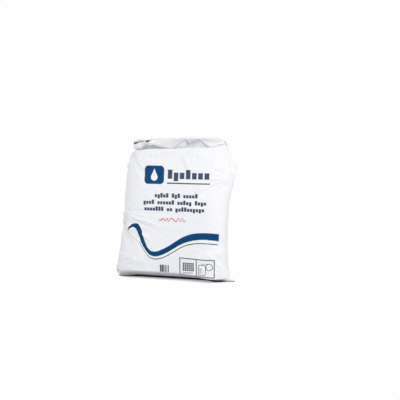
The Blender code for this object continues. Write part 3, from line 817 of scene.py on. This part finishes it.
class Field:
    """A number at each place that a shader paints, as the output of one of its nodes."""

    def __init__(self, tree, value):
        self.tree = tree
        self.value = value

    def math(self, kind, *others):
        """The outcome of one kind of math node on this number and others."""
        node = self.tree.nodes.new("ShaderNodeMath")
        node.operation = kind
        for socket, operand in zip(node.inputs, (self, *others)):
            if isinstance(operand, Field):
                self.tree.links.new(operand.value, socket)
            else:
                socket.default_value = operand
        return Field(self.tree, node.outputs[0])

    def __add__(self, other):
        return self.math("ADD", other)

    def __sub__(self, other):
        return self.math("SUBTRACT", other)

    def __mul__(self, other):
        return self.math("MULTIPLY", other)

    def __abs__(self):
        return self.math("ABSOLUTE")

    def less_from(self, number):
        """A plain number less this one."""
        return self.math("MULTIPLY_ADD", -1.0, number)

    def most(self, other):
        return self.math("MAXIMUM", other)

    def least(self, other):
        return self.math("MINIMUM", other)

    def ink(self, edge):
        """1 inside a shape and 0 outside it, from the distance out of the shape."""
        node = self.tree.nodes.new("ShaderNodeMapRange")
        node.interpolation_type = "SMOOTHSTEP"
        self.tree.links.new(self.value, node.inputs["Value"])
        node.inputs["From Min"].default_value = edge / 2
        node.inputs["From Max"].default_value = -edge / 2
        return Field(self.tree, node.outputs["Result"])

    def chance(self):
        """A random number from 0 to 1 for each value of this one."""
        node = self.tree.nodes.new("ShaderNodeTexWhiteNoise")
        node.noise_dimensions = "1D"
        self.tree.links.new(self.value, node.inputs["W"])
        return Field(self.tree, node.outputs["Value"])

    def curve(self, points, low, high, floor, ceiling):
        """A smooth curve of this number through (number, value) points, read between limits."""
        node = self.tree.nodes.new("ShaderNodeFloatCurve")
        line_curve = node.mapping.curves[0]
        spots = [((a - low) / (high - low), (b - floor) / (ceiling - floor)) for a, b in points]
        line_curve.points[0].location = spots[0]
        line_curve.points[-1].location = spots[-1]
        for spot in spots[1:-1]:
            line_curve.points.new(*spot)
        node.mapping.extend = "HORIZONTAL"
        node.mapping.update()
        scaled = (self - low) * (1.0 / (high - low))
        self.tree.links.new(scaled.value, node.inputs["Value"])
        return Field(self.tree, node.outputs["Value"]) * (ceiling - floor) + floor


def rectangle(u, v, middle, half, corner):
    """Distance out of a rectangle with rounded corners, in metres."""
    across = abs(u - middle[0]) - (half[0] - corner)
    up = abs(v - middle[1]) - (half[1] - corner)
    outside = (across.most(0.0).math("POWER", 2.0) + up.most(0.0).math("POWER", 2.0)).math("SQRT")
    return outside + across.most(up).least(0.0) - corner


def circle(u, v, middle, radius):
    """Distance out of a circle, in metres."""
    across = (u - middle[0]).math("POWER", 2.0)
    up = (v - middle[1]).math("POWER", 2.0)
    return (across + up).math("SQRT") - radius


def repeated(place, start, pitch, half):
    """Distance out of the nearest of a row of bands of one half-width, in metres."""
    return abs(((place - start) * (1.0 / pitch)).math("FRACT") - 0.5) * pitch - half


def blocks(u, v, start, base, pitch, size, cells, gaps, seed):
    """A row of plain blocks of uneven height in word-like groups, as ink from 0 to 1."""
    width, height = size
    spot = (u - start) * (1.0 / pitch)
    index = spot.math("FLOOR")
    chance = (index + seed).chance()
    tall = chance.math("GREATER_THAN", TALL_CHANCE) * (TALL_SHARE * height)
    deep = chance.math("LESS_THAN", DEEP_CHANCE) * (DEEP_SHARE * height)
    sideways = repeated(u, start, pitch, width / 2)
    above = v - tall - (base + height)
    below = (v + deep).less_from(base)
    shape = sideways.most(above).most(below).ink(PRINT_EDGE)
    shown = (abs(spot - cells / 2) - cells / 2).math("LESS_THAN", 0.0)
    for gap in gaps:
        shown = shown - index.math("COMPARE", gap, 0.5)
    return shape * shown.most(0.0)


def stripe_print(u, v):
    """The flowing stripe, and the thin line under it."""
    limits = (STRIPE_START, STRIPE_END, STRIPE_LOWEST, STRIPE_HIGHEST)
    top = u.curve(STRIPE_TOP, *limits)
    bottom = u.curve(STRIPE_BOTTOM, *limits)
    under = u.curve(THIN_LINE, *limits)
    ends = u.less_from(STRIPE_START).most(u - STRIPE_END)
    stripe = (v - top).most((v - bottom) * -1.0).most(ends)
    ends = u.less_from(THIN_LINE[0][0]).most(u - THIN_LINE[-1][0])
    thin = (abs(v - under) - THIN_HALF).most(ends)
    return stripe.ink(PRINT_EDGE), thin.ink(PRINT_EDGE)


def badge_print(u, v):
    """A rounded square with a plain drop left bare in it."""
    middle = DROP_BELLY[0][0]
    taper = (abs(u - middle) * DROP_SLOPE + (v - DROP_TIP)).most((v - DROP_WAIST) * -1.0)
    drop = circle(u, v, *DROP_BELLY).least(taper).ink(PRINT_EDGE)
    return rectangle(u, v, *BADGE).ink(PRINT_EDGE) * drop.less_from(1.0)


def words_print(u, v):
    """The word-like rows of plain blocks."""
    words = blocks(u, v, *BLOCK_ROWS[0])
    for row in BLOCK_ROWS[1:]:
        words = words.most(blocks(u, v, *row))
    return words


def box_print(u, v):
    """The two-cell box with its bag and coiled tube, and apart from it the dots with their note."""
    top = v + u * BOX_TOP[0] - BOX_TOP[1]
    bottom = (v + u * BOX_BOTTOM[0]).less_from(BOX_BOTTOM[1])
    box = top.most(bottom).most(abs(u - BOX_MIDDLE) - BOX_HALF)
    divider = (abs(u - DIVIDER) - DIVIDER_HALF).most(box)
    outline = (abs(box) - BOX_LINE_HALF).least(divider)
    bag = abs(rectangle(u, v, *BAG)) - BAG_LINE_HALF
    coil = abs(circle(u, v, *COIL)) - COIL_LINE_HALF
    tubes = coil.least(rectangle(u, v, *PIPE)).least(rectangle(u, v, *NECK))
    marks = repeated(v, *MARKS_UP).most(rectangle(u, v, *MARK_FIELD))
    picture = outline.least(bag).least(tubes).least(marks)
    dots = repeated(u, *DOTS_ACROSS).most(repeated(v, *DOTS_UP))
    dots = dots.most(rectangle(u, v, *DOT_FIELD)).least(rectangle(u, v, *NOTE))
    return picture.ink(PRINT_EDGE), dots.ink(PRINT_EDGE)


def bars_print(u, v):
    """A field of plain bars of uneven width."""
    bars = ((u - BARS_START) * BARS_PER_METRE).math("FLOOR").chance()
    return bars.math("GREATER_THAN", BAR_CHANCE) * rectangle(u, v, *BAR_FIELD).ink(PRINT_EDGE)


def scribble_print(u, v):
    """A wavy line, whose waves drift and swell along it."""
    turn = u * RED_WAVES + (u * RED_DRIFT_WAVES).math("SINE") * RED_DRIFT
    wave = turn.math("SINE") * ((u * RED_SWELL_WAVES).math("SINE") * RED_SWELL + RED_HEIGHT)
    slope = turn.math("COSINE") * (RED_HEIGHT * RED_WAVES)
    away = abs(v - wave - RED_LINE) * (slope.math("POWER", 2.0) + 1.0).math("INVERSE_SQRT")
    return (away - RED_HALF).most(abs(u - RED_MIDDLE) - RED_REACH).ink(PRINT_EDGE)


def film_tag(tree, name):
    """A number that the mesh carries at each point of the film."""
    node = tree.nodes.new("ShaderNodeAttribute")
    node.attribute_name = name
    return Field(tree, node.outputs["Fac"])


def film_colour(tree, u, v):
    """White film with grey, slate, red and blue print on its front, and shade painted into its gaps
    and folds.
    """
    stripe, thin = stripe_print(u, v)
    box, dots = box_print(u, v)
    underline = rectangle(u, v, *UNDERLINE).ink(PRINT_EDGE)
    layers = (
        (box.most(underline).most(thin).most(bars_print(u, v)), GREY_INK),
        (words_print(u, v).most(dots), SLATE_INK),
        (scribble_print(u, v), RED_INK),
        (stripe.most(badge_print(u, v)), BLUE_INK),
        # painted shade of the gaps and folds, laid over the film and its print
        (film_tag(tree, "gap"), PAINTED_GAP_SHADE),
    )
    colour = None
    for shape, ink in layers:
        mix = tree.nodes.new("ShaderNodeMix")
        mix.data_type = "RGBA"
        tree.links.new(shape.value, mix.inputs["Factor"])
        if colour is None:
            mix.inputs["A"].default_value = FILM_WHITE
        else:
            tree.links.new(colour, mix.inputs["A"])
        mix.inputs["B"].default_value = ink
        colour = mix.outputs["Result"]
    return colour


def add_bump(tree, height, size):
    """A bump node of one strength and depth, pressed by a height."""
    bump = tree.nodes.new("ShaderNodeBump")
    bump.inputs["Strength"].default_value, bump.inputs["Distance"].default_value = size
    tree.links.new(height.value, bump.inputs["Height"])
    return bump


def film_normal(tree):
    """Fine crinkles all over, and the ribs pressed into the seals."""
    place = tree.nodes.new("ShaderNodeTexCoord").outputs["Object"]
    grain = tree.nodes.new("ShaderNodeTexNoise")
    grain.inputs["Scale"].default_value = GRAIN_SCALE
    grain.inputs["Detail"].default_value = GRAIN_DETAIL
    grain.inputs["Distortion"].default_value = GRAIN_DISTORTION
    tree.links.new(place, grain.inputs["Vector"])
    crinkles = add_bump(tree, abs(Field(tree, grain.outputs["Fac"]) - 0.5), GRAIN_BUMP)
    along = film_tag(tree, "seal")
    on_seal = along.math("GREATER_THAN", RIBS_START) * along.math("LESS_THAN", RIBS_END)
    ribs = add_bump(tree, (along * (2 * math.pi / RIB_PITCH)).math("SINE") * on_seal, RIB_BUMP)
    tree.links.new(crinkles.outputs["Normal"], ribs.inputs["Normal"])
    return ribs.outputs["Normal"]


def film_material():
    """Satin polyethylene film, printed on the front."""
    material = bpy.data.materials.new("printed_film")
    material.use_nodes = True
    tree = material.node_tree
    shader = tree.nodes["Principled BSDF"]
    shader.inputs["Roughness"].default_value = FILM_ROUGHNESS
    shader.inputs["Specular IOR Level"].default_value = FILM_GLOSS
    film_map = tree.nodes.new("ShaderNodeUVMap")
    film_map.uv_map = "film"
    parts = tree.nodes.new("ShaderNodeSeparateXYZ")
    tree.links.new(film_map.outputs["UV"], parts.inputs["Vector"])
    u, v = Field(tree, parts.outputs["X"]), Field(tree, parts.outputs["Y"])
    tree.links.new(film_colour(tree, u, v), shader.inputs["Base Color"])
    tree.links.new(film_normal(tree), shader.inputs["Normal"])
    return material


def look_at_pack():
    """The photograph's camera: level, slightly above, from the right."""
    data = bpy.data.cameras.new("camera")
    data.lens = CAMERA_LENS
    data.sensor_width = SENSOR_WIDTH
    camera = bpy.data.objects.new("camera", data)
    bpy.context.scene.collection.objects.link(camera)
    turn, dip = math.radians(CAMERA_AZIMUTH), math.radians(CAMERA_ELEVATION)
    back = Vector((math.sin(turn) * math.cos(dip), -math.cos(turn) * math.cos(dip), math.sin(dip)))
    right = Vector((math.cos(turn), math.sin(turn), 0.0))
    facing = Matrix((right, back.cross(right), back)).transposed()
    camera.matrix_world = Matrix.Translation(CAMERA_PLACE) @ facing.to_4x4()
    bpy.context.scene.camera = camera


def soft_light(name, place, size, power):
    """A lamp as wide and high as a softbox, turned to the pack."""
    data = bpy.data.lights.new(name, "AREA")
    data.shape = "RECTANGLE"
    data.size, data.size_y = size
    data.energy = power
    data.color = LIGHT_TINT
    light = bpy.data.objects.new(name, data)
    light.location = place
    light.rotation_euler = (PACK_MIDDLE - Vector(place)).to_track_quat("-Z", "Y").to_euler()
    bpy.context.scene.collection.objects.link(light)


def in_sight(tree):
    """1 for a ray of the camera, of a reflection or through glass, and 0 for one that lights."""
    path = tree.nodes.new("ShaderNodeLightPath")
    sight = Field(tree, path.outputs["Is Camera Ray"])
    for kind in ("Is Glossy Ray", "Is Transmission Ray"):
        sight = sight.most(Field(tree, path.outputs[kind]))
    return sight.value


def build_world():
    """White where it is seen. It lights the pack from all round, but little from the top."""
    world = bpy.data.worlds.new("studio")
    bpy.context.scene.world = world
    world.use_nodes = True
    tree = world.node_tree
    sky = tree.nodes["Background"]
    place = tree.nodes.new("ShaderNodeTexCoord")
    parts = tree.nodes.new("ShaderNodeSeparateXYZ")
    tree.links.new(place.outputs["Generated"], parts.inputs["Vector"])
    rise = tree.nodes.new("ShaderNodeMapRange")
    tree.links.new(parts.outputs["Z"], rise.inputs["Value"])
    rise.inputs["From Min"].default_value, rise.inputs["From Max"].default_value = SKY_RISE
    tones = tree.nodes.new("ShaderNodeMix")
    tones.data_type = "RGBA"
    tree.links.new(rise.outputs["Result"], tones.inputs["Factor"])
    tones.inputs["A"].default_value = SKY_LOW
    tones.inputs["B"].default_value = SKY_HIGH
    tree.links.new(tones.outputs["Result"], sky.inputs["Color"])
    white = tree.nodes.new("ShaderNodeBackground")
    white.inputs["Color"].default_value = WHITE
    mix = tree.nodes.new("ShaderNodeMixShader")
    tree.links.new(in_sight(tree), mix.inputs[0])
    tree.links.new(sky.outputs[0], mix.inputs[1])
    tree.links.new(white.outputs[0], mix.inputs[2])
    tree.links.new(mix.outputs[0], tree.nodes["World Output"].inputs["Surface"])


def floor_material():
    """Pale floor, white where it is seen, with the pack's contact line and soft shadow painted into
    its glow.
    """
    material = bpy.data.materials.new("pale_floor")
    material.use_nodes = True
    tree = material.node_tree
    tree.nodes.clear()
    out = tree.nodes.new("ShaderNodeOutputMaterial")
    diffuse = tree.nodes.new("ShaderNodeBsdfDiffuse")
    diffuse.inputs["Color"].default_value = FLOOR_COLOUR
    glow = tree.nodes.new("ShaderNodeEmission")
    # the glow's strength is darkened by each occlusion ramp: painted shadow, not cast by the lamps
    brightness = tree.nodes.new("ShaderNodeMath")
    brightness.operation = "MULTIPLY"
    for socket, (reach, dark, bright, deepest) in zip(brightness.inputs, FLOOR_PAINTED_SHADOWS):
        shade = tree.nodes.new("ShaderNodeAmbientOcclusion")
        shade.inputs["Distance"].default_value = reach
        shade.samples = SHADE_SAMPLES
        ramp = tree.nodes.new("ShaderNodeMapRange")
        ramp.inputs["From Min"].default_value = dark
        ramp.inputs["From Max"].default_value = bright
        ramp.inputs["To Min"].default_value = deepest
        ramp.inputs["To Max"].default_value = 1.0
        tree.links.new(shade.outputs["AO"], ramp.inputs["Value"])
        tree.links.new(ramp.outputs["Result"], socket)
    tree.links.new(brightness.outputs[0], glow.inputs["Strength"])
    mix = tree.nodes.new("ShaderNodeMixShader")
    tree.links.new(in_sight(tree), mix.inputs[0])
    tree.links.new(diffuse.outputs[0], mix.inputs[1])
    tree.links.new(glow.outputs[0], mix.inputs[2])
    tree.links.new(mix.outputs[0], out.inputs["Surface"])
    return material


def build_floor():
    """The floor, a hair under the pack."""
    mesh = bpy.data.meshes.new("floor")
    ends = (-FLOOR_HALF, FLOOR_HALF)
    mesh.from_pydata([(x, y, 0.0) for y in ends for x in ends], [], [(0, 1, 3, 2)])
    mesh.materials.append(floor_material())
    floor = bpy.data.objects.new("floor", mesh)
    floor.location.z = -FLOOR_DROP
    bpy.context.scene.collection.objects.link(floor)


build_film()
look_at_pack()
build_world()
build_floor()
for lamp in LIGHTS:
    soft_light(*lamp)
bpy.context.scene.view_settings.view_transform = "Standard"
